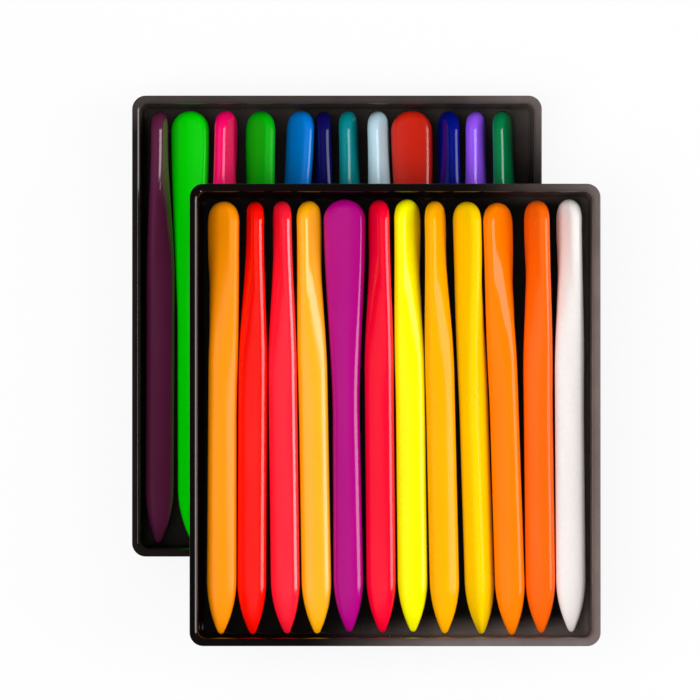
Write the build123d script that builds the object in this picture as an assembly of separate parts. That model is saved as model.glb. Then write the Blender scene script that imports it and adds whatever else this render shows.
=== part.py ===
from build123d import *
import os
from math import atan, cos, degrees, radians, sin, sqrt, tan

# Two like trays of moulded crayons, the upper tray set down askew on the lower one.
# Millimetres. X runs across a row, Y from tip to butt, Z up; the origin is under the middle.

# Crayon: a rounded triangular body that flattens into a round-ended paddle at the butt
crayon_length = 120.0
body_width = 8.25           # across one face of the body, where the tip begins
waist_share = 0.91          # width of that face where the paddle begins, as a share of body_width
body_corner = 2.2           # rounding of the three long edges
face_bulge = 0.2            # how far each long face stands out at its middle
paddle_width = 11.6
paddle_thickness = 4.5
paddle_edge = 1.85          # rounding of the paddle's two long edges
paddle_dome = 5.6           # length over which the paddle's outline rounds off
paddle_straight = 0.8       # length of even paddle before it starts to change
body_share = 0.5            # share of the length by which the paddle has become the body
thick_lead = 12.0           # length by which it gets its full depth before its full narrowness
edge_dome = 2.6             # length over which its thickness rounds off
keel_share = 0.75           # rounding of the paddle's underside, as a share of its face radius
flank_share = 1.4           # flatness of the paddle's underside beside that rounding
flank_round = 0.7           # how much that underside rounds up halfway to the body
tip_length = 15.0
tip_radius = 0.6

# Tray: one formed sheet with sloping walls and a flat rim
sheet = 0.7
rim_width = 1.0             # flat part of the rim, outside the wall
wall_run = 2.1              # how far a wall leans outward from floor to rim
rim_corner = 3.8            # outer corner in plan
floor_round = 1.2           # inner rounding between floor and walls
lip_round = 0.35            # rounding of the rim's inner and outer edges
side_gap = 0.3              # room beside the wider row
end_gap = 0.05              # room on the floor beyond the ends of the crayons
headroom = 1.8              # from the highest crayon to the plane of the rim

# Fit and stacking
clearance = 0.2             # between a crayon and what it lies on or beside
stagger_x = 16.1            # upper tray to the right of the lower one
stagger_y = 25.0            # upper tray nearer the front
row_unit = 1.0              # length of one unit in the last two columns of the rows

# Each row from left to right: name, roll of the paddle's face from straight up, lean of the tip
# to the right (degrees), extra room on the left, and shift toward the butt end (row units)
upper_row = [
    ("saffron", 130, -0.4, 1.65, -0.6),
    ("red", 99, -0.3, 0.0, -0.7),
    ("rose", 102, 0.7, 0.1, -0.5),
    ("amber", -114, 1.1, 0.0, -0.5),
    ("magenta", -8, 0.7, 0.35, 0.0),
    ("crimson", 107, 0.5, 0.6, -0.2),
    ("lemon", -117, 0.8, 0.1, 0.0),
    ("gold", -106, 1.3, 0.0, -0.5),
    ("yellow", -58, 2.0, 0.7, -0.6),
    ("orange", -125, 2.0, 0.0, -0.9),
    ("vermilion", 115, 0.6, 0.0, -0.3),
    ("white", 115, 0.3, 0.0, 0.0),
]
lower_row = [
    ("plum", -99, -0.2, 0.5, -0.1),
    ("green", -29, 0.6, 0.0, 0.1),
    ("pink", -110, -0.7, 0.1, 0.2),
    ("grass", 124, -0.8, 0.9, 0.0),
    ("blue", -59, -2.3, 0.05, 0.2),
    ("navy", 92, 1.0, 0.0, -0.1),
    ("teal", -103, 1.6, 0.0, 0.1),
    ("ice", -108, 1.7, 0.0, 0.0),
    ("brick", 5, 1.3, 0.05, 0.2),
    ("ultramarine", 108, 0.4, 0.0, 0.0),
    ("violet", -106, 0.6, 0.0, -0.1),
    ("pine", -106, 1.8, 0.0, 0.1),
]


# Where the body ends and the even paddle starts, from the tip end
body_end = crayon_length * (1 - body_share)
paddle_start = crayon_length - paddle_dome - paddle_straight


def blend(a, b, share):
    return a + (b - a) * share


def ease(share):
    """Smooth step from 0 to 1."""
    s = min(max(share, 0.0), 1.0)
    return s ** 2 * (3 - 2 * s)


def dome(share):
    """Quarter ellipse from 0 to 1."""
    return sqrt(1 - (1 - min(max(share, 0.0), 1.0)) ** 2)


def tip_scale(y):
    """Size of the section at y from the tip end, as a share of the body's."""
    half = body_width / 2
    rise = half - tip_radius
    swing = (tip_length ** 2 + rise ** 2) / (2 * rise)
    ogive = half - swing + sqrt(swing ** 2 - max(tip_length - y, 0.0) ** 2)
    return ogive / half * dome(y / tip_radius)


def face_between(a, b, radius):
    """Circle of the given radius that rounds over the corner circles a and b, going clockwise."""
    from_a, from_b = radius - a[2], radius - b[2]
    dx, dz = b[0] - a[0], b[1] - a[1]
    span = sqrt(dx ** 2 + dz ** 2)
    along = (span ** 2 + from_a ** 2 - from_b ** 2) / (2 * span)
    inward = sqrt(from_a ** 2 - along ** 2)
    return (a[0] + (dx * along + dz * inward) / span, a[1] + (dz * along - dx * inward) / span, radius)


def outline(y):
    """Three corner circles and three face circles (x, z, radius) of the section at y from the tip."""
    flat = ease((y - body_end) / (paddle_start - body_end))
    thin = ease((y - body_end - thick_lead) / (paddle_start - body_end - thick_lead))
    wide = dome((crayon_length - y) / paddle_dome)
    size = dome((crayon_length - y) / edge_dome) * tip_scale(y)
    arm = (body_width / 2 - body_corner) / sqrt(3)
    girth = blend(1, waist_share, min(max((y - tip_length) / (body_end - tip_length), 0.0), 1.0))

    edge = blend(body_corner, paddle_edge, flat) * size
    half = blend(body_width * girth, paddle_width, flat) / 2 * wide * tip_scale(y) - edge
    bulge = blend(face_bulge, paddle_thickness / 2 - paddle_edge, flat) * size
    level = blend(arm, 0, thin) * size
    depth = blend(2 * arm + body_corner, paddle_thickness / 2, thin) * size
    face = (half ** 2 + (edge + bulge) ** 2 - edge ** 2) / (2 * bulge)
    keel = 1 / blend(1 / (body_corner * size), 1 / (keel_share * face), thin)
    flank = face * blend(1, flank_share, thin) * (1 - flank_round * 4 * thin * (1 - thin))

    left, right, low = (-half, level, edge), (half, level, edge), (0.0, keel - depth, keel)
    faces = [face_between(left, right, face), face_between(right, low, flank), face_between(low, left, flank)]
    return [left, right, low], faces


def touch(corner, face):
    """Point where a corner circle runs into a face circle."""
    dx, dz = corner[0] - face[0], corner[1] - face[1]
    stretch = face[2] / sqrt(dx ** 2 + dz ** 2)
    return face[0] + dx * stretch, face[1] + dz * stretch


def section(y):
    """Closed outline of six tangent arcs, in the plane at y."""
    (left, right, low), (top, flank_right, flank_left) = outline(y)
    circles = [top, right, flank_right, low, flank_left, left]
    ends = [touch(left, top), touch(right, top), touch(right, flank_right),
            touch(low, flank_right), touch(low, flank_left), touch(left, flank_left)]
    arcs = []
    for (x, z, radius), p, q in zip(circles, ends, ends[1:] + ends[:1]):
        mx, mz = (p[0] + q[0]) / 2 - x, (p[1] + q[1]) / 2 - z
        stretch = radius / sqrt(mx ** 2 + mz ** 2)
        middle = (x + mx * stretch, y, z + mz * stretch)
        arcs.append(ThreePointArc((p[0], y, p[1]), middle, (q[0], y, q[1])))
    return make_face(Wire(arcs))


def reach(y, angle):
    """How far the section at y reaches from the axis, at an angle from its paddle face's normal."""
    corners, faces = outline(y)
    ring = [circle for pair in zip(corners, faces) for circle in pair]
    joins = []
    for i, (a, b) in enumerate(zip(ring, ring[1:] + ring[:1])):
        corner, face = (a, b) if i % 2 == 0 else (b, a)
        tx, tz = touch(corner, face)
        joins.append(((tx - face[0]) / face[2], (tz - face[1]) / face[2]))
    dx, dz = sin(radians(angle)), cos(radians(angle))
    for (x, z, radius), p, q in zip(ring, joins[-1:] + joins, joins):
        ahead = (p[0] + q[0]) * dx + (p[1] + q[1]) * dz > 0
        if ahead and p[0] * dz - p[1] * dx <= 1e-9 and q[0] * dz - q[1] * dx >= -1e-9:
            return x * dx + z * dz + radius


# Lengths of the crayon from tip to butt, each given by its stations from the tip end
dome_steps = [1 - cos(radians(angle)) for angle in (4, 15, 30, 45, 60, 75, 90)]
nose = [tip_radius * s for s in dome_steps]
taper = [blend(tip_radius, tip_length, s / 6) for s in range(7)]
body = [tip_length, body_end]
turn = [blend(body_end, paddle_start, s / 8) for s in range(9)]
even = [paddle_start, crayon_length - paddle_dome]
butt = [crayon_length - paddle_dome * s for s in reversed(dome_steps)]

crayon = Part() + [loft([section(y) for y in piece]) for piece in (nose, taper, body, turn, even, butt)]
crayon = Pos(0, -crayon_length / 2, 0) * crayon
balance = crayon.center(CenterOf.MASS).Y + crayon_length / 2
stations = sorted(set(nose + taper + body + turn + even + butt))


def resting(roll):
    """Height of the axis at mid-length, and its slope, for a crayon lying on a flat floor."""
    points = [(y, reach(y, 180 - roll)) for y in stations]
    fore = [p for p in points if p[0] < balance]
    aft = [p for p in points if p[0] > balance]
    p, q = max(((p, q) for p in fore for q in aft),
               key=lambda pq: blend(pq[0][1], pq[1][1], (balance - pq[0][0]) / (pq[1][0] - pq[0][0])))
    slope = (q[1] - p[1]) / (q[0] - p[0])
    return clearance + p[1] + slope * (crayon_length / 2 - p[0]), slope


def top_height(roll):
    height, slope = resting(roll)
    return max(height + slope * (y - crayon_length / 2) + reach(y, -roll) for y in stations)


def side_line(entry, side):
    """Edge of a crayon in plan on one side (-1 left, +1 right), at each station, from its middle."""
    name, roll, lean, gap, shift = entry
    drift = tan(radians(lean))
    line = []
    for y in stations:
        own = min(max(y - shift * row_unit, stations[0]), stations[-1])
        line.append((crayon_length / 2 - y) * drift + side * reach(own, side * 90 - roll))
    return line


def set_out(row):
    """Place of each crayon's middle from the left edge of the floor, and the width of the row."""
    places, wall = [], [0.0] * len(stations)
    for entry in row:
        room = entry[3] * row_unit + (clearance if places else 0.0)
        place = room + max(w - e for w, e in zip(wall, side_line(entry, -1)))
        places.append(place)
        wall = [place + e for e in side_line(entry, 1)]
    return places, max(wall)


upper_places, upper_width = set_out(upper_row)
lower_places, lower_width = set_out(lower_row)
both_rows = upper_row + lower_row

# Tray sizes that follow from the crayons
floor_width = max(upper_width, lower_width) + side_gap
farthest_shift = max(abs(entry[4]) for entry in both_rows) * row_unit
floor_length = crayon_length + 2 * (farthest_shift + end_gap)
well_depth = max(top_height(entry[1]) for entry in both_rows) + headroom
tray_height = sheet + well_depth
wall_angle = degrees(atan(wall_run / well_depth))
floor_corner = rim_corner - rim_width - wall_run * 0.5


def make_tray():
    floor = RectangleRounded(floor_width, floor_length, floor_corner)
    under = RectangleRounded(floor_width + 2 * sheet, floor_length + 2 * sheet, floor_corner + sheet)
    reach_out = 2 * (wall_run + rim_width)
    rim = RectangleRounded(floor_width + reach_out, floor_length + reach_out, rim_corner)

    well = Pos(0, 0, sheet) * extrude(floor, well_depth, taper=-wall_angle)
    walls = extrude(under, tray_height - sheet / 2, taper=-wall_angle)
    tray = walls + Pos(0, 0, well_depth) * extrude(rim, sheet) - well

    half = sheet / 2
    tray = fillet(tray.edges().filter_by_position(Axis.Z, -half, half), floor_round + sheet)
    tray = fillet(tray.edges().filter_by_position(Axis.Z, half, sheet + half), floor_round)
    return fillet(tray.faces().sort_by(Axis.Z)[-1].edges(), lip_round)


def lay(entry, place):
    """A crayon lying on the floor of a tray whose floor is centred on the Z axis."""
    name, roll, lean, gap, shift = entry
    height, slope = resting(roll)
    spot = Pos(place - floor_width / 2, shift * row_unit, sheet + height)
    return spot * Rot(0, 0, lean) * Rot(degrees(atan(slope)), 0, 0) * Rot(0, roll, 0) * crayon


lower_seat = Pos(-stagger_x / 2, stagger_y / 2, 0)
upper_seat = Pos(stagger_x / 2, -stagger_y / 2, tray_height)

tray = make_tray()
nodes = {"lower_tray": lower_seat * tray, "upper_tray": upper_seat * tray}
for entry, place in zip(lower_row, lower_places):
    nodes["lower_crayon_" + entry[0]] = lower_seat * lay(entry, place)
for entry, place in zip(upper_row, upper_places):
    nodes["upper_crayon_" + entry[0]] = upper_seat * lay(entry, place)

os.makedirs("parts", exist_ok=True)
for name, solid in nodes.items():
    export_step(solid, f"parts/{name}.step")
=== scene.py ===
"""Two stacked trays of moulded crayons: forms, finishes, table, light and camera."""
from math import asin, atan2, cos, pi, radians, sin, sqrt, tan

import bmesh
import bpy
from mathutils import Matrix, Vector


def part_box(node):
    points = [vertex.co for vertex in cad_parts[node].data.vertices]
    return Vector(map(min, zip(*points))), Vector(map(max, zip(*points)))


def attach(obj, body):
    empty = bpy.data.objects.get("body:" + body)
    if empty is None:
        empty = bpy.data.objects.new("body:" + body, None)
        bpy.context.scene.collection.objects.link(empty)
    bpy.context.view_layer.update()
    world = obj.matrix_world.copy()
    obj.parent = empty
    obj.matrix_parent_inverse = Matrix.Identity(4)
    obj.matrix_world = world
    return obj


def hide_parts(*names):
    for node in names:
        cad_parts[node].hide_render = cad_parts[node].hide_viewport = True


bl_info = {
    "name": "Crayon Trays",
    "version": (1, 0, 0),
    "blender": (4, 5, 0),
    "location": "View3D > Sidebar > Crayons",
    "description": "Models moulded crayons in two stacked trays and sets the table under them",
    "category": "Object",
}

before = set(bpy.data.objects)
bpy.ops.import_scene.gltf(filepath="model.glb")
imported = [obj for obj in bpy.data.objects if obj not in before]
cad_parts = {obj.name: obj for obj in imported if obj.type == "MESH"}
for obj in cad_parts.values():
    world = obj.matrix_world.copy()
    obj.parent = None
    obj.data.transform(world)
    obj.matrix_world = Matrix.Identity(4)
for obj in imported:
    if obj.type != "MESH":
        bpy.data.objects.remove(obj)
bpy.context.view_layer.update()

# How far each crayon has rolled: its paddle face from straight up, toward +X, in degrees
ROLLS = {
    "upper": {
        "saffron": 130, "red": 99, "rose": 102, "amber": -114, "magenta": -8, "crimson": 107,
        "lemon": -117, "gold": -106, "yellow": -58, "orange": -125, "vermilion": 115, "white": 115,
    },
    "lower": {
        "plum": -99, "green": -29, "pink": -110, "grass": 124, "blue": -59, "navy": 92,
        "teal": -103, "ice": -108, "brick": 5, "ultramarine": 108, "violet": -106, "pine": -106,
    },
}

# How much each wax shines against plain wax: the yellows and grass are the dullest
SHINE = {
    "saffron": 0.4, "red": 0.9, "rose": 1.5, "amber": 1.3, "magenta": 0.8, "crimson": 0.9,
    "lemon": 0.42, "gold": 0.28, "yellow": 0.15, "orange": 0.42, "vermilion": 0.6, "white": 0.6,
    "plum": 1.2, "green": 0.4, "pink": 0.8, "grass": 0.25, "blue": 0.7, "navy": 0.5,
    "teal": 0.8, "ice": 0.9, "brick": 1.0, "ultramarine": 0.6, "violet": 1.0, "pine": 1.0,
}

# Roughness of the satin waxes, and of all the others
SATIN = {"saffron": 0.26, "amber": 0.24, "grass": 0.34}
PLAIN_ROUGHNESS = 0.13
WAX_IOR = 1.48
WAX_RELIEF = 0.00008            # metres

# Painted reflection on the trays, a pale sheen painted into their colour: where each part of it begins and
# where it is full, in metres
PAINTED_REFLECTION_BANDS = {
    "lower back": (0.064, 0.0765), "lower corner": (0.095, 0.126), "right": (0.0545, 0.0625),
    "front": (-0.067, -0.0745), "rear": (0.045, 0.051), "drift": (0.008, 0.064),
}
DRIFT_SLANT = -0.35             # how far the drift moves in X for each step in Y
TRAY_SPLIT = 0.01436            # the upper tray lies above this height, in metres
TRAY_IOR = 1.5

# Fineness of the meshes
SECTION_STEPS = (12, 5, 5, 12, 8, 12, 5, 5)     # along the arcs around a crayon
RIGHT_SEAM, LEFT_SEAM = sum(SECTION_STEPS[:2]), sum(SECTION_STEPS[:7])
ARC_STEPS = 10                  # along a rounded corner of a tray
CORNER_RUN = 0.0015             # straight beside such a corner in plan, in metres
PROFILE_RUN = 0.00015           # straight beside such a corner in the profile, in metres
LIP_REACH = 0.95                # where the wall would meet the rim, as a share of the lip's rounding
SHARP_ANGLE = radians(40)       # edges above this angle are not smoothed
END_SLICE = 0.00002             # depth of the slice that finds the end of a solid, in metres

# Lamps: the way to each from the trays, its distance, width and height in metres, and its radiance
LAMPS = {
    "right_softbox": ((0.85, 0, 0.53), 1.5, 0.6, 1.2, 6.0),
    "left_card": ((-0.77, 0, 0.64), 0.9, 0.4, 0.3, 0.1),
    "left_fill": ((-0.42, -0.12, 0.9), 1.5, 1.0, 1.4, 2.75),
    "top_fill": ((0, 0, 1), 1.5, 3.2, 3.2, 0.68),
}
UNMIRRORED = {"left_fill", "top_fill"}
SKY_DIFFUSE, SKY_GLOSSY = 0.09, 0.03

TABLE_HALF = 3.0                # metres
TABLE_ROUGHNESS = 0.85
TABLE_GLOW = 0.88               # share of white in the table as the camera and mirrors see it

CAMERA_DISTANCE = 5.0           # metres
CAMERA_TILT = radians(1.5)
CAMERA_AIM = (-0.00444, 0.00583)
SENSOR_WIDTH = 36               # millimetres


# ---------------------------------------------------------------- settings


def length(name, description, millimetres):
    return bpy.props.FloatProperty(
        name=name, description=description, default=millimetres / 1000, min=0, unit="LENGTH", precision=5)


def share(name, description, default):
    return bpy.props.FloatProperty(
        name=name, description=description, default=default, min=0, max=2, subtype="FACTOR")


def tint(name, red, green, blue):
    return bpy.props.FloatVectorProperty(
        name=name, description="Colour of " + name.lower(), size=3, min=0, max=1,
        subtype="COLOR_GAMMA", default=(red / 255, green / 255, blue / 255))


class CrayonShape(bpy.types.PropertyGroup):
    """Sizes of one moulded crayon."""
    body_width: length("Body width", "Across one face of the triangular body, where the tip begins", 8.25)
    body_corner: length("Body corner", "Rounding of the three long edges", 2.2)
    face_bulge: length("Face bulge", "How far a long face stands out at its middle", 0.2)
    paddle_width: length("Paddle width", "Width of the flat butt", 11.6)
    paddle_thickness: length("Paddle thickness", "Thickness of the flat butt", 4.5)
    paddle_edge: length("Paddle edge", "Rounding of the butt's two long edges", 1.85)
    paddle_dome: length("Paddle dome", "Length over which the butt's outline rounds off", 5.6)
    paddle_straight: length("Even paddle", "Length of even paddle before it changes", 0.8)
    edge_dome: length("Edge dome", "Length over which the butt's thickness rounds off", 2.6)
    thick_lead: length("Thickness lead", "How much sooner the paddle thickens than it narrows", 12.0)
    tip_length: length("Tip length", "Length of the pointed end", 15.0)
    tip_radius: length("Tip radius", "Rounding of the point", 0.6)
    seam: length("Mould seam", "Height of the fine seam along both edges", 0.03)
    full_length: length("Length", "From point to butt", 120.0)
    body_share: share("Body share", "Share of the length by which the paddle has become the body", 0.5)
    waist_share: share("Waist share", "Width of the body's face where the paddle begins", 0.91)
    keel_share: share("Keel share", "Rounding of the paddle's underside against its face", 0.75)
    flank_share: share("Flank share", "Flatness of the paddle's underside beside that rounding", 1.4)
    flank_round: share("Flank rounding", "How much the underside rounds up halfway to the body", 0.7)


class WaxColours(bpy.types.PropertyGroup):
    """Colour of each crayon, as it looks in daylight."""
    saffron: tint("Saffron", 255, 146, 0)
    red: tint("Red", 255, 12, 0)
    rose: tint("Rose", 255, 24, 50)
    amber: tint("Amber", 255, 176, 0)
    magenta: tint("Magenta", 176, 0, 128)
    crimson: tint("Crimson", 250, 0, 44)
    lemon: tint("Lemon", 247, 243, 0)
    gold: tint("Gold", 255, 173, 0)
    yellow: tint("Yellow", 255, 208, 0)
    orange: tint("Orange", 255, 127, 0)
    vermilion: tint("Vermilion", 255, 102, 6)
    white: tint("White", 243, 236, 233)
    plum: tint("Plum", 88, 28, 60)
    green: tint("Green", 0, 212, 0)
    pink: tint("Pink", 248, 0, 100)
    grass: tint("Grass", 0, 178, 8)
    blue: tint("Blue", 0, 120, 212)
    navy: tint("Navy", 14, 9, 84)
    teal: tint("Teal", 0, 126, 131)
    ice: tint("Ice", 177, 206, 217)
    brick: tint("Brick", 198, 32, 13)
    ultramarine: tint("Ultramarine", 0, 15, 124)
    violet: tint("Violet", 142, 80, 236)
    pine: tint("Pine", 0, 121, 68)


class TrayShape(bpy.types.PropertyGroup):
    """Sizes of one formed tray, besides its length, width and height."""
    sheet: length("Sheet", "Thickness of the formed sheet", 0.7)
    rim_width: length("Rim width", "Flat part of the rim", 1.1)
    rim_corner: length("Rim corner", "Outer corner in plan", 3.8)
    rim_edge: length("Rim edge", "Rounding of the rim's outer edge", 0.3)
    lip_round: length("Lip rounding", "Rounding from the rim down into the wall", 1.2)
    floor_inset: length("Floor inset", "From the outer edge of the rim to the edge of the floor", 3.1)
    floor_round: length("Floor rounding", "Rounding between floor and walls", 1.2)
    floor_margin: length("Floor margin", "Ring of floor inside that rounding", 2.5)
    corner_share: share("Corner share", "How fast the corners tighten from the rim to the floor", 0.66)


class TrayFinish(bpy.types.PropertyGroup):
    """Look of the formed black trays."""
    black: tint("Tray black", 12, 8, 7)
    # Colour of the painted reflection, a pale sheen painted along the trays' edges
    painted_reflection: tint("Painted reflection", 116, 103, 99)
    dust: tint("Dust", 190, 182, 176)
    wave: length("Sheet waves", "Depth of the waves that forming leaves in the sheet", 0.12)


class StageLight(bpy.types.PropertyGroup):
    """Table, lamps and camera."""
    table: tint("Table", 236, 236, 242)
    right_light: share("Right softbox", "Brightness of the tall softbox on the right", 1.0)
    left_light: share("Left card", "Brightness of the small card on the left", 1.0)
    fill_light: share("Fill", "Brightness of the fill from the left and from above", 1.0)
    view_width: length("View width", "Width of the picture at the rim of the lower tray", 194.4)


def srgb_to_linear(value):
    return value / 12.92 if value <= 0.04045 else ((value + 0.055) / 1.055) ** 2.4


def linear(colour):
    return tuple(srgb_to_linear(part) for part in colour) + (1.0,)


# ---------------------------------------------------------------- shader helpers


class ShaderBench:
    """Adds nodes to one tree and joins them."""

    def __init__(self, tree):
        self.tree = tree

    def add(self, kind, inputs=None, **settings):
        node = self.tree.nodes.new(kind)
        for key, value in settings.items():
            setattr(node, key, value)
        for key, value in (inputs or {}).items():
            if isinstance(value, bpy.types.NodeSocket):
                self.tree.links.new(value, node.inputs[key])
            else:
                node.inputs[key].default_value = value
        return node

    def math(self, operation, first, second=0.0, third=0.0, clamp=False):
        inputs = {0: first, 1: second, 2: third}
        return self.add("ShaderNodeMath", inputs, operation=operation, use_clamp=clamp).outputs[0]

    def ramp(self, value, low, high, to_low=0.0, to_high=1.0):
        """Smooth rise of value from low to high."""
        node = self.add("ShaderNodeMapRange", {
            "Value": value, "From Min": low, "From Max": high, "To Min": to_low, "To Max": to_high,
        }, interpolation_type="SMOOTHSTEP")
        return node.outputs["Result"]

    def noise(self, place, scale, detail=2.0, roughness=0.5, stretch=(1, 1, 1), turn=(0, 0, 0)):
        spread = self.add("ShaderNodeMapping", {"Vector": place, "Scale": stretch, "Rotation": turn})
        node = self.add("ShaderNodeTexNoise", {
            "Vector": spread.outputs[0], "Scale": scale, "Detail": detail, "Roughness": roughness,
        })
        return node.outputs["Fac"]

    def specks(self, place, scale, size):
        """A few round specks, one in some of the cells of a grid."""
        cells = self.add("ShaderNodeTexVoronoi", {"Vector": place, "Scale": scale}, feature="F1")
        chance = self.add("ShaderNodeSeparateColor", {"Color": cells.outputs["Color"]})
        reach = self.math("MULTIPLY", self.ramp(chance.outputs[0], 0.72, 1.0), size)
        return self.math("LESS_THAN", cells.outputs["Distance"], reach)


def new_group(name, inputs, outputs):
    """Empty shader node group with its sockets; returns the group, its bench and the two end nodes."""
    group = bpy.data.node_groups.new(name, "ShaderNodeTree")
    for label, kind, default in inputs:
        socket = group.interface.new_socket(label, in_out="INPUT", socket_type=kind)
        socket.default_value = default
    for label, kind in outputs:
        group.interface.new_socket(label, in_out="OUTPUT", socket_type=kind)
    bench = ShaderBench(group)
    return group, bench, bench.add("NodeGroupInput"), bench.add("NodeGroupOutput")


def wax_group():
    """Mottled satin wax: colour, roughness and height, each changing over the surface."""
    name = "Moulded wax"
    if name in bpy.data.node_groups:
        return bpy.data.node_groups[name]
    group, bench, given, result = new_group(
        name,
        [("Colour", "NodeSocketColor", (1, 1, 1, 1)), ("Mottle", "NodeSocketFloat", 0.08),
         ("Roughness", "NodeSocketFloat", 0.2)],
        [("Colour", "NodeSocketColor"), ("Roughness", "NodeSocketFloat"), ("Height", "NodeSocketFloat")])
    place = bench.add("ShaderNodeTexCoord").outputs["Object"]
    cloud = bench.noise(place, 70, 3, 0.55, stretch=(1, 0.35, 1))
    grain = bench.noise(place, 900, 3, 0.6)
    drawn = bench.noise(place, 520, 2, 0.5, stretch=(1, 0.05, 1))
    pits = bench.specks(place, 160, 0.06)

    blotch = bench.math("ADD", bench.math("MULTIPLY", cloud, 0.7), bench.math("MULTIPLY", grain, 0.3))
    lift = bench.math("MULTIPLY", bench.math("SUBTRACT", blotch, 0.5), given.outputs["Mottle"])
    value = bench.math("ADD", bench.math("MULTIPLY", lift, 4.0), 1.0)
    shade = bench.add("ShaderNodeHueSaturation", {"Value": value, "Color": given.outputs["Colour"]})
    bench.tree.links.new(shade.outputs["Color"], result.inputs["Colour"])

    rub = bench.math("MULTIPLY", bench.math("SUBTRACT", drawn, 0.5), 0.03)
    haze = bench.math("MULTIPLY", bench.math("SUBTRACT", cloud, 0.5), 0.08)
    rough = bench.math("ADD", bench.math("ADD", given.outputs["Roughness"], rub), haze, clamp=True)
    bench.tree.links.new(rough, result.inputs["Roughness"])

    waves = bench.noise(place, 55, 2, 0.5, stretch=(1, 0.3, 1))
    relief = bench.math("ADD", waves, bench.math("MULTIPLY", grain, 0.008))
    relief = bench.math("SUBTRACT", relief, bench.math("MULTIPLY", pits, 0.12))
    bench.tree.links.new(relief, result.inputs["Height"])
    return group


def handling_group():
    """Marks of handling on a gloss sheet: dust specks, hairlines and smears."""
    name = "Handling marks"
    if name in bpy.data.node_groups:
        return bpy.data.node_groups[name]
    group, bench, given, result = new_group(
        name,
        [("Amount", "NodeSocketFloat", 1.0)],
        [("Dust", "NodeSocketFloat"), ("Hairlines", "NodeSocketFloat"), ("Smear", "NodeSocketFloat")])
    place = bench.add("ShaderNodeTexCoord").outputs["Object"]
    amount = given.outputs["Amount"]
    dust = bench.math("ADD", bench.specks(place, 230, 0.045), bench.specks(place, 90, 0.03), clamp=True)
    bench.tree.links.new(bench.math("MULTIPLY", dust, amount), result.inputs["Dust"])

    across = bench.noise(place, 60, 1, 0.4, stretch=(18, 0.6, 1), turn=(0, 0, 0.5))
    along = bench.noise(place, 60, 1, 0.4, stretch=(0.7, 16, 1), turn=(0, 0, 0.35))
    patch = bench.ramp(bench.noise(place, 45, 2), 0.5, 0.68)
    lines = bench.math("MAXIMUM", bench.ramp(across, 0.70, 0.74), bench.ramp(along, 0.71, 0.75))
    lines = bench.math("MULTIPLY", bench.math("MULTIPLY", lines, patch), amount)
    bench.tree.links.new(lines, result.inputs["Hairlines"])

    smear = bench.ramp(bench.noise(place, 28, 4, 0.6, stretch=(1, 0.5, 1)), 0.4, 0.75)
    bench.tree.links.new(bench.math("MULTIPLY", smear, amount), result.inputs["Smear"])
    return group


def new_material(name):
    """Material with a Principled shader; returns it, its bench and the shader."""
    material = bpy.data.materials.new(name)
    material.use_nodes = True
    material.node_tree.nodes.clear()
    bench = ShaderBench(material.node_tree)
    shader = bench.add("ShaderNodeBsdfPrincipled")
    bench.add("ShaderNodeOutputMaterial", {"Surface": shader.outputs["BSDF"]})
    return material, bench, shader


def wax_material(name, colour, shine):
    material, bench, shader = new_material("wax_" + name)
    wax = bench.add("ShaderNodeGroup", node_tree=wax_group())
    wax.inputs["Colour"].default_value = linear(colour)
    wax.inputs["Roughness"].default_value = SATIN.get(name, PLAIN_ROUGHNESS)
    bump = bench.add("ShaderNodeBump", {
        "Strength": 1.0, "Distance": WAX_RELIEF, "Height": wax.outputs["Height"],
    })
    bench.tree.links.new(wax.outputs["Colour"], shader.inputs["Base Color"])
    bench.tree.links.new(wax.outputs["Roughness"], shader.inputs["Roughness"])
    bench.tree.links.new(bump.outputs["Normal"], shader.inputs["Normal"])
    shader.inputs["IOR"].default_value = WAX_IOR
    shader.inputs["Specular IOR Level"].default_value = 0.5 * shine
    return material


def painted_tray_reflection(bench, place):
    """Painted reflection, a pale sheen painted into the trays' colour: at the back and right of the lower
    tray, along three edges of the upper one.
    """
    spot = bench.add("ShaderNodeSeparateXYZ", {0: place})
    x, y, z = spot.outputs
    upper = bench.math("GREATER_THAN", z, TRAY_SPLIT)

    back = bench.ramp(y, *PAINTED_REFLECTION_BANDS["lower back"], 0.05, 0.3)
    corner = bench.ramp(bench.math("ADD", x, y), *PAINTED_REFLECTION_BANDS["lower corner"], 0.0, 0.6)
    lower_painted_reflection = bench.math("ADD", back, corner)

    right = bench.ramp(x, *PAINTED_REFLECTION_BANDS["right"])
    front = bench.ramp(y, *PAINTED_REFLECTION_BANDS["front"])
    rear = bench.ramp(y, *PAINTED_REFLECTION_BANDS["rear"])
    edge = bench.math("MAXIMUM", bench.math("MAXIMUM", right, front), rear)
    drift = bench.ramp(bench.math("MULTIPLY_ADD", y, DRIFT_SLANT, x), *PAINTED_REFLECTION_BANDS["drift"])
    upper_painted_reflection = bench.math("MULTIPLY", edge, drift)

    painted_reflection = bench.add("ShaderNodeMix", {"Factor": upper, 2: lower_painted_reflection, 3: upper_painted_reflection}).outputs[0]
    patchy = bench.ramp(bench.noise(place, 90, 3), 0.2, 0.8, 0.75, 1.0)
    return bench.math("MULTIPLY", painted_reflection, patchy, clamp=True)


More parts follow.
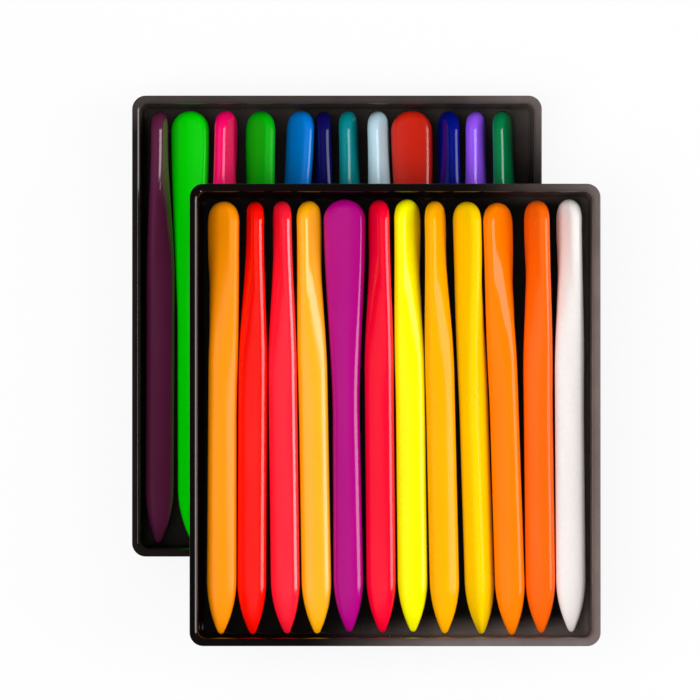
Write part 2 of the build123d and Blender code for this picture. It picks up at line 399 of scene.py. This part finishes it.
def tray_material(finish):
    material, bench, shader = new_material("tray_black")
    marks = bench.add("ShaderNodeGroup", node_tree=handling_group())
    place = bench.add("ShaderNodeTexCoord").outputs["Object"]
    waves = bench.noise(place, 42, 2, 0.5)
    ripple = bench.noise(place, 150, 2, 0.5)

    # Painted reflection: a pale sheen mixed into the black along the trays' edges, with rougher gloss under
    # it
    painted_reflection = painted_tray_reflection(bench, place)
    with_painted_reflection = bench.add("ShaderNodeMix", {
        "Factor": painted_reflection, 6: linear(finish.black), 7: linear(finish.painted_reflection),
    }, data_type="RGBA")
    hue = bench.add("ShaderNodeMix", {
        "Factor": bench.math("MULTIPLY", marks.outputs["Dust"], 0.55),
        6: with_painted_reflection.outputs[2], 7: linear(finish.dust),
    }, data_type="RGBA")
    bench.tree.links.new(hue.outputs[2], shader.inputs["Base Color"])

    rough = bench.math("ADD", bench.math("MULTIPLY", marks.outputs["Smear"], 0.05), 0.07)
    rough = bench.math("ADD", rough, bench.math("MULTIPLY", painted_reflection, 0.3))
    rough = bench.math("ADD", rough, bench.math("MULTIPLY", marks.outputs["Hairlines"], 0.25))
    rough = bench.math("ADD", rough, bench.math("MULTIPLY", marks.outputs["Dust"], 0.5), clamp=True)
    bench.tree.links.new(rough, shader.inputs["Roughness"])

    height = bench.math("ADD", waves, bench.math("MULTIPLY", ripple, 0.12))
    height = bench.math("SUBTRACT", height, bench.math("MULTIPLY", marks.outputs["Hairlines"], 0.03))
    bump = bench.add("ShaderNodeBump", {"Strength": 1.0, "Distance": finish.wave, "Height": height})
    bench.tree.links.new(bump.outputs["Normal"], shader.inputs["Normal"])
    shader.inputs["IOR"].default_value = TRAY_IOR
    return material


# ---------------------------------------------------------------- forms


def draw_rings(rings):
    """Closed mesh drawn out from one ring of points to the next, from a circle on."""
    bm = bmesh.new()
    verts = bmesh.ops.create_circle(bm, cap_ends=False, segments=len(rings[0]), radius=1)["verts"]
    for vert, point in zip(verts, rings[0]):
        vert.co = point
    first = edges = bm.edges[:]
    for ring in rings[1:]:
        order = {tuple(vert.co): index for index, vert in enumerate(verts)}
        grown = bmesh.ops.extrude_edge_only(bm, edges=edges)["geom"]
        fresh = {part for part in grown if isinstance(part, bmesh.types.BMVert)}
        edges = [part for part in grown
                 if isinstance(part, bmesh.types.BMEdge) and fresh.issuperset(part.verts)]
        verts = sorted(fresh, key=lambda vert: order[tuple(vert.co)])
        for vert, point in zip(verts, ring):
            vert.co = point
    caps = bmesh.ops.edgeloop_fill(bm, edges=first)["faces"]
    caps += bmesh.ops.edgeloop_fill(bm, edges=edges)["faces"]
    bmesh.ops.poke(bm, faces=caps)
    bmesh.ops.recalc_face_normals(bm, faces=bm.faces[:])
    for part in bm.faces:
        part.smooth = True
    for edge in bm.edges:
        edge.smooth = edge.calc_face_angle(0.0) < SHARP_ANGLE
    return bm


def mix(a, b, part):
    return a + (b - a) * part


def clamp(value):
    return min(max(value, 0.0), 1.0)


def ease(part):
    """Smooth step from 0 to 1."""
    part = clamp(part)
    return part ** 2 * (3 - 2 * part)


def dome(part):
    """Quarter ellipse from 0 to 1."""
    return sqrt(1 - (1 - clamp(part)) ** 2)


def face_between(a, b, radius):
    """Circle of the given radius that rounds over corner circles a and b, going clockwise."""
    from_a, from_b = radius - a[2], radius - b[2]
    dx, dz = b[0] - a[0], b[1] - a[1]
    span = sqrt(dx ** 2 + dz ** 2)
    along = (span ** 2 + from_a ** 2 - from_b ** 2) / (2 * span)
    inward = sqrt(from_a ** 2 - along ** 2)
    return (a[0] + (dx * along + dz * inward) / span, a[1] + (dz * along - dx * inward) / span, radius)


class CrayonForm:
    """Sections of a crayon: a rounded triangle that flattens into a round-ended paddle."""

    def __init__(self, shape):
        self.shape = shape
        self.body_end = shape.full_length * (1 - shape.body_share)
        self.paddle_start = shape.full_length - shape.paddle_dome - shape.paddle_straight

    def tip_scale(self, y):
        s = self.shape
        half = s.body_width / 2
        rise = half - s.tip_radius
        swing = (s.tip_length ** 2 + rise ** 2) / (2 * rise)
        ogive = half - swing + sqrt(swing ** 2 - max(s.tip_length - y, 0.0) ** 2)
        return ogive / half * dome(y / s.tip_radius)

    def circles(self, y):
        """Corner and face circles (x, z, radius) of the section at y from the tip."""
        s = self.shape
        flat = ease((y - self.body_end) / (self.paddle_start - self.body_end))
        thin = ease((y - self.body_end - s.thick_lead) / (self.paddle_start - self.body_end - s.thick_lead))
        girth = mix(1, s.waist_share, clamp((y - s.tip_length) / (self.body_end - s.tip_length)))
        tip = self.tip_scale(y)
        size = dome((s.full_length - y) / s.edge_dome) * tip
        arm = (s.body_width / 2 - s.body_corner) / sqrt(3)
        edge = mix(s.body_corner, s.paddle_edge, flat) * size
        wide = dome((s.full_length - y) / s.paddle_dome) * tip
        half = mix(s.body_width * girth, s.paddle_width, flat) / 2 * wide - edge
        bulge = mix(s.face_bulge, s.paddle_thickness / 2 - s.paddle_edge, flat) * size
        level = mix(arm, 0, thin) * size
        depth = mix(2 * arm + s.body_corner, s.paddle_thickness / 2, thin) * size
        face = (half ** 2 + (edge + bulge) ** 2 - edge ** 2) / (2 * bulge)
        keel = 1 / mix(1 / (s.body_corner * size), 1 / (s.keel_share * face), thin)
        flank = face * mix(1, s.flank_share, thin) * (1 - s.flank_round * 4 * thin * (1 - thin))
        left, right, low = (-half, level, edge), (half, level, edge), (0.0, keel - depth, keel)
        return (left, right, low), (face_between(left, right, face), face_between(right, low, flank),
                                    face_between(low, left, flank))

    def ring(self, y):
        """Points around the section at y, clockwise from the left end of its upper face."""
        (left, right, low), (top, flank_right, flank_left) = self.circles(y)

        def heading(corner, face):
            return atan2(corner[1] - face[1], corner[0] - face[0])

        turns = [heading(left, top), heading(right, top), 0.0, heading(right, flank_right),
                 heading(low, flank_right), heading(low, flank_left), heading(left, flank_left), -pi,
                 heading(left, top) - 2 * pi]
        arcs = [top, right, right, flank_right, low, flank_left, left, left]
        points = []
        for (x, z, radius), start, end, count in zip(arcs, turns, turns[1:], SECTION_STEPS):
            end = self.unwind(start, end)
            for step in range(count):
                angle = mix(start, end, step / count)
                points.append(Vector((x + radius * cos(angle), y, z + radius * sin(angle))))
        ridge = self.shape.seam * min(1.0, right[2] / self.shape.paddle_edge)
        points[RIGHT_SEAM].x += ridge
        points[LEFT_SEAM].x -= ridge
        return points

    @staticmethod
    def unwind(start, end):
        """Turn end by whole circles until it lies clockwise of start."""
        while end > start + 1e-9:
            end -= 2 * pi
        while end < start - 2 * pi + 1e-9:
            end += 2 * pi
        return end

    def stations(self):
        """Places of the sections along the crayon, closer together at its two ends."""
        s = self.shape
        quarter = [1 - cos(radians(angle)) for angle in (4, 12, 20, 30, 40, 50, 60, 70, 80, 90)]
        runs = [[s.tip_radius * q for q in quarter]]
        for start, end, steps in ((s.tip_radius, s.tip_length, 18), (s.tip_length, self.body_end, 12),
                                  (self.body_end, self.paddle_start, 36),
                                  (self.paddle_start, s.full_length - s.paddle_dome, 1)):
            runs.append([mix(start, end, step / steps) for step in range(1, steps + 1)])
        butt = [1 - cos(radians(angle)) for angle in range(4, 90, 4)]
        runs.append([s.full_length - s.paddle_dome * q for q in reversed(butt)])
        return [y for run in runs for y in run]

    def build(self):
        """Crayon from tip to butt along +Y."""
        return draw_rings([self.ring(y) for y in self.stations()])


class TrayForm:
    """A formed sheet: rounded rectangles that follow its profile from the floor over the rim and under."""

    def __init__(self, shape, low, high):
        self.shape = shape
        self.middle, self.half = (low + high) / 2, (high - low) / 2
        self.base, self.top = low.z, high.z

    def ring(self, inset, z):
        """Rounded rectangle at one step of the profile."""
        corner = self.shape.rim_corner - self.shape.corner_share * inset
        reach = self.half - Vector((inset + corner, inset + corner, 0))
        points = []
        for quarter, (side_x, side_y) in enumerate(((1, 1), (-1, 1), (-1, -1), (1, -1))):
            centre = Vector((self.middle.x + side_x * reach.x, self.middle.y + side_y * reach.y, z))
            arc = []
            for step in range(ARC_STEPS + 1):
                angle = radians(90 * quarter + 90 * step / ARC_STEPS)
                arc.append(centre + Vector((cos(angle), sin(angle), 0)) * corner)
            run = Vector((-sin(radians(90 * quarter)), cos(radians(90 * quarter)), 0)) * CORNER_RUN
            points += [arc[0] - run, *arc, arc[-1] + Vector((-run.y, run.x, 0))]
        return points

    def profile(self):
        """Steps (inset, z) from the floor up the inside, over the rim and down to the underside."""
        s = self.shape
        lip = s.rim_width + s.lip_round * LIP_REACH
        middle = s.floor_inset + s.floor_margin
        corners = [
            (middle, self.base + s.sheet, 0), (s.floor_inset, self.base + s.sheet, s.floor_round),
            (lip, self.top, s.lip_round), (0, self.top, s.rim_edge), (0, self.top - s.sheet, 0),
            (lip - s.sheet, self.top - s.sheet, 0),
            (s.floor_inset - s.sheet, self.base, s.floor_round + s.sheet), (middle, self.base, 0),
        ]
        steps = [Vector(corners[0][:2])]
        for before, (x, z, radius), after in zip(corners, corners[1:], corners[2:]):
            steps += self.rounded(Vector(before[:2]), Vector((x, z)), Vector(after[:2]), radius)
        return steps + [Vector(corners[-1][:2])]

    @staticmethod
    def rounded(before, corner, after, radius):
        """Arc over one corner of the profile, with a step on the straight at either end."""
        if not radius:
            return [corner]
        back, on = (before - corner).normalized(), (after - corner).normalized()
        opening = back.angle(on) / 2
        run = radius / tan(opening)
        centre = corner + (back + on).normalized() * radius / sin(opening)
        first, last = (corner + back * run - centre).normalized(), (corner + on * run - centre).normalized()
        arc = [centre + first.slerp(last, step / ARC_STEPS) * radius for step in range(ARC_STEPS + 1)]
        return [arc[0] + back * PROFILE_RUN, *arc, arc[-1] + on * PROFILE_RUN]

    def build(self):
        return draw_rings([self.ring(inset, z) for inset, z in self.profile()])


def end_point(node, far):
    """Middle of the small flat at one end of a crayon's solid."""
    points = [vert.co for vert in node.data.vertices]
    limit = max(p.y for p in points) if far else min(p.y for p in points)
    close = [p for p in points if abs(p.y - limit) < END_SLICE]
    return sum(close, Vector()) / len(close)


def lie_of(node, roll):
    """Matrix that lays a crayon, tip at the origin and butt along +Y, where its solid lies."""
    tip, butt = end_point(node, False), end_point(node, True)
    way = (butt - tip).normalized()
    lean = Matrix.Rotation(atan2(-way.x, way.y), 4, "Z")
    pitch = Matrix.Rotation(asin(way.z), 4, "X")
    return Matrix.Translation(tip) @ lean @ pitch @ Matrix.Rotation(radians(roll), 4, "Y")


def place_in_box(bm, name):
    """Centre a mesh on the box of its solid."""
    low, high = (Vector(corner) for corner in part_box(name))
    spans = [[vert.co[axis] for vert in bm.verts] for axis in range(3)]
    middle = Vector([(min(span) + max(span)) / 2 for span in spans])
    bmesh.ops.translate(bm, verts=bm.verts[:], vec=(low + high) / 2 - middle)


def mesh_object(name, bm, material):
    mesh = bpy.data.meshes.new(name)
    bm.to_mesh(mesh)
    bm.free()
    mesh.materials.append(material)
    thing = bpy.data.objects.new(name, mesh)
    bpy.context.scene.collection.objects.link(thing)
    return thing


# ---------------------------------------------------------------- operators


class CRAYONS_OT_lay_crayons(bpy.types.Operator):
    """Model every crayon where its solid lies and give it its wax"""
    bl_idname = "crayons.lay_crayons"
    bl_label = "Lay Crayons"

    def execute(self, context):
        colours = context.scene.crayon_colours
        template = CrayonForm(context.scene.crayon_shape).build()
        for row, rolls in ROLLS.items():
            for name, roll in rolls.items():
                node_name = f"{row}_crayon_{name}"
                bm = template.copy()
                bmesh.ops.transform(bm, matrix=lie_of(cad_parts[node_name], roll), verts=bm.verts[:])
                place_in_box(bm, node_name)
                wax = wax_material(name, getattr(colours, name), SHINE[name])
                crayon = mesh_object(f"{row}_{name}_wax", bm, wax)
                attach(crayon, node_name)
                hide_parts(node_name)
        template.free()
        return {"FINISHED"}


class CRAYONS_OT_form_trays(bpy.types.Operator):
    """Form both trays and give them their black gloss, with the marks of handling"""
    bl_idname = "crayons.form_trays"
    bl_label = "Form Trays"

    def execute(self, context):
        gloss = tray_material(context.scene.tray_finish)
        for name in ("lower_tray", "upper_tray"):
            low, high = (Vector(corner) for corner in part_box(name))
            form = TrayForm(context.scene.tray_shape, low, high)
            tray = mesh_object(name + "_sheet", form.build(), gloss)
            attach(tray, name)
            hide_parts(name)
        return {"FINISHED"}


class CRAYONS_OT_set_stage(bpy.types.Operator):
    """Set the table, the softboxes and the camera above the trays"""
    bl_idname = "crayons.set_stage"
    bl_label = "Set Stage"

    def execute(self, context):
        stage = context.scene.stage_light
        context.scene.view_settings.view_transform = "Standard"
        self.lay_table(stage)
        self.light_world(context.scene)
        levels = {"right_softbox": stage.right_light, "left_card": stage.left_light,
                  "left_fill": stage.fill_light, "top_fill": stage.fill_light}
        for name, level in levels.items():
            lamp = self.softbox(name, *LAMPS[name], level)
            lamp.visible_glossy = name not in UNMIRRORED
        self.aim_camera(context.scene, stage.view_width)
        return {"FINISHED"}

    def lay_table(self, stage):
        bm = bmesh.new()
        bmesh.ops.create_grid(bm, x_segments=1, y_segments=1, size=TABLE_HALF)
        material, bench, shader = new_material("table_top")
        place = bench.add("ShaderNodeTexCoord").outputs["Object"]
        tone = bench.add("ShaderNodeHueSaturation", {
            "Color": linear(stage.table), "Value": bench.ramp(bench.noise(place, 12, 3), 0.3, 0.7, 0.98, 1.0),
        })
        bench.tree.links.new(tone.outputs[0], shader.inputs["Base Color"])
        shader.inputs["Roughness"].default_value = TABLE_ROUGHNESS
        glow = bench.add("ShaderNodeEmission", {"Color": (1, 1, 1, 1), "Strength": 1.0})
        path = bench.add("ShaderNodeLightPath")
        seen = bench.math("ADD", path.outputs["Is Camera Ray"], path.outputs["Is Glossy Ray"], clamp=True)
        seen = bench.math("ADD", seen, path.outputs["Is Transmission Ray"], clamp=True)
        blend = bench.add("ShaderNodeMixShader", {
            0: bench.math("MULTIPLY", seen, TABLE_GLOW), 1: shader.outputs[0], 2: glow.outputs[0],
        })
        ends = [node for node in bench.tree.nodes if node.bl_idname == "ShaderNodeOutputMaterial"]
        bench.tree.links.new(blend.outputs[0], ends[0].inputs["Surface"])
        mesh_object("table", bm, material)

    def light_world(self, scene):
        world = bpy.data.worlds.new("studio")
        scene.world = world
        world.use_nodes = True
        world.node_tree.nodes.clear()
        bench = ShaderBench(world.node_tree)
        path = bench.add("ShaderNodeLightPath")
        dimmer = SKY_GLOSSY - SKY_DIFFUSE
        strength = bench.math("MULTIPLY_ADD", path.outputs["Is Glossy Ray"], dimmer, SKY_DIFFUSE)
        strength = bench.math("MAXIMUM", strength, path.outputs["Is Camera Ray"])
        sky = bench.add("ShaderNodeBackground", {"Color": (1, 1, 1, 1), "Strength": strength})
        bench.add("ShaderNodeOutputWorld", {"Surface": sky.outputs[0]})

    def softbox(self, name, way, distance, width, height, radiance, level):
        """Rectangular lamp that faces the trays from the given way."""
        light = bpy.data.lights.new(name, "AREA")
        light.shape = "RECTANGLE"
        light.size, light.size_y = width, height
        light.energy = radiance * level * pi * width * height
        lamp = bpy.data.objects.new(name, light)
        bpy.context.scene.collection.objects.link(lamp)
        way = Vector(way).normalized()
        lamp.location = way * distance
        lamp.rotation_euler = (-way).to_track_quat("-Z", "Y").to_euler()
        return lamp

    def aim_camera(self, scene, view_width):
        camera = bpy.data.cameras.new("above")
        camera.sensor_width = SENSOR_WIDTH
        camera.lens = SENSOR_WIDTH * CAMERA_DISTANCE / view_width
        camera.clip_start, camera.clip_end = 0.1, 50
        eye = bpy.data.objects.new("above", camera)
        scene.collection.objects.link(eye)
        target = Vector((*CAMERA_AIM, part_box("lower_tray")[1][2]))
        eye.location = target + Vector((0, -sin(CAMERA_TILT), cos(CAMERA_TILT))) * CAMERA_DISTANCE
        eye.rotation_euler = (CAMERA_TILT, 0, 0)
        scene.camera = eye


class CRAYONS_PT_panel(bpy.types.Panel):
    """Crayon trays"""
    bl_idname = "CRAYONS_PT_panel"
    bl_label = "Crayon Trays"
    bl_space_type = "VIEW_3D"
    bl_region_type = "UI"
    bl_category = "Crayons"

    def draw(self, context):
        layout = self.layout
        for operator in OPERATORS:
            layout.operator(operator.bl_idname)
        for settings in (context.scene.crayon_shape, context.scene.tray_shape, context.scene.tray_finish,
                         context.scene.stage_light, context.scene.crayon_colours):
            box = layout.box()
            for key in settings.bl_rna.properties.keys():
                if key not in {"rna_type", "name"}:
                    box.prop(settings, key)


SETTINGS = {"crayon_shape": CrayonShape, "crayon_colours": WaxColours, "tray_shape": TrayShape,
            "tray_finish": TrayFinish, "stage_light": StageLight}
OPERATORS = (CRAYONS_OT_lay_crayons, CRAYONS_OT_form_trays, CRAYONS_OT_set_stage)


def register():
    for cls in (*SETTINGS.values(), *OPERATORS, CRAYONS_PT_panel):
        bpy.utils.register_class(cls)
    for name, cls in SETTINGS.items():
        setattr(bpy.types.Scene, name, bpy.props.PointerProperty(type=cls))


def unregister():
    for name in SETTINGS:
        delattr(bpy.types.Scene, name)
    for cls in reversed((*SETTINGS.values(), *OPERATORS, CRAYONS_PT_panel)):
        bpy.utils.unregister_class(cls)


def main():
    register()
    bpy.ops.crayons.lay_crayons()
    bpy.ops.crayons.form_trays()
    bpy.ops.crayons.set_stage()


if __name__ == "__main__":
    main()
